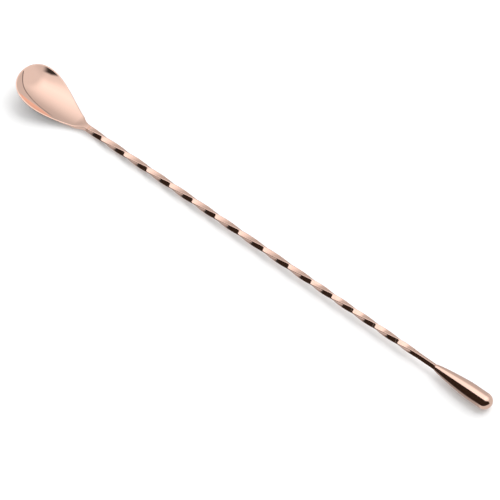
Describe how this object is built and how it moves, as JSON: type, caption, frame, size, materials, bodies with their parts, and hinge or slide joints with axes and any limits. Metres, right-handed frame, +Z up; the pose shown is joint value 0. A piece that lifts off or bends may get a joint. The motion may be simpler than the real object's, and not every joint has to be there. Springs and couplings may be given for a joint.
{
  "type": "bar spoon",
  "caption": "Long bar spoon with a teardrop bowl, a left-hand twisted square bar and a droplet counterweight, polished copper plate.",
  "frame": {"origin": "on the resting surface, under the middle of the spoon's bounding box", "axes": "+X from the bowl to the counterweight, +Z up out of the bowl as the spoon lies on its back"},
  "size_m": [0.3352, 0.0266, 0.014],
  "materials": {
    "bowl_plate": "mirror-polished copper plate on stainless steel",
    "shaft_plate": "polished copper plate on stainless steel, fine draw marks along the bar",
    "weight_plate": "mirror-polished copper plate on turned stainless steel",
    "braze_plate": "ground and polished braze under the same copper plate"
  },
  "bodies": {
    "root": {"spoon_bowl": "bowl_plate", "neck_braze": "braze_plate", "twisted_shaft": "shaft_plate", "weight_braze": "braze_plate", "droplet_weight": "weight_plate"}
  },
  "joints": []
}
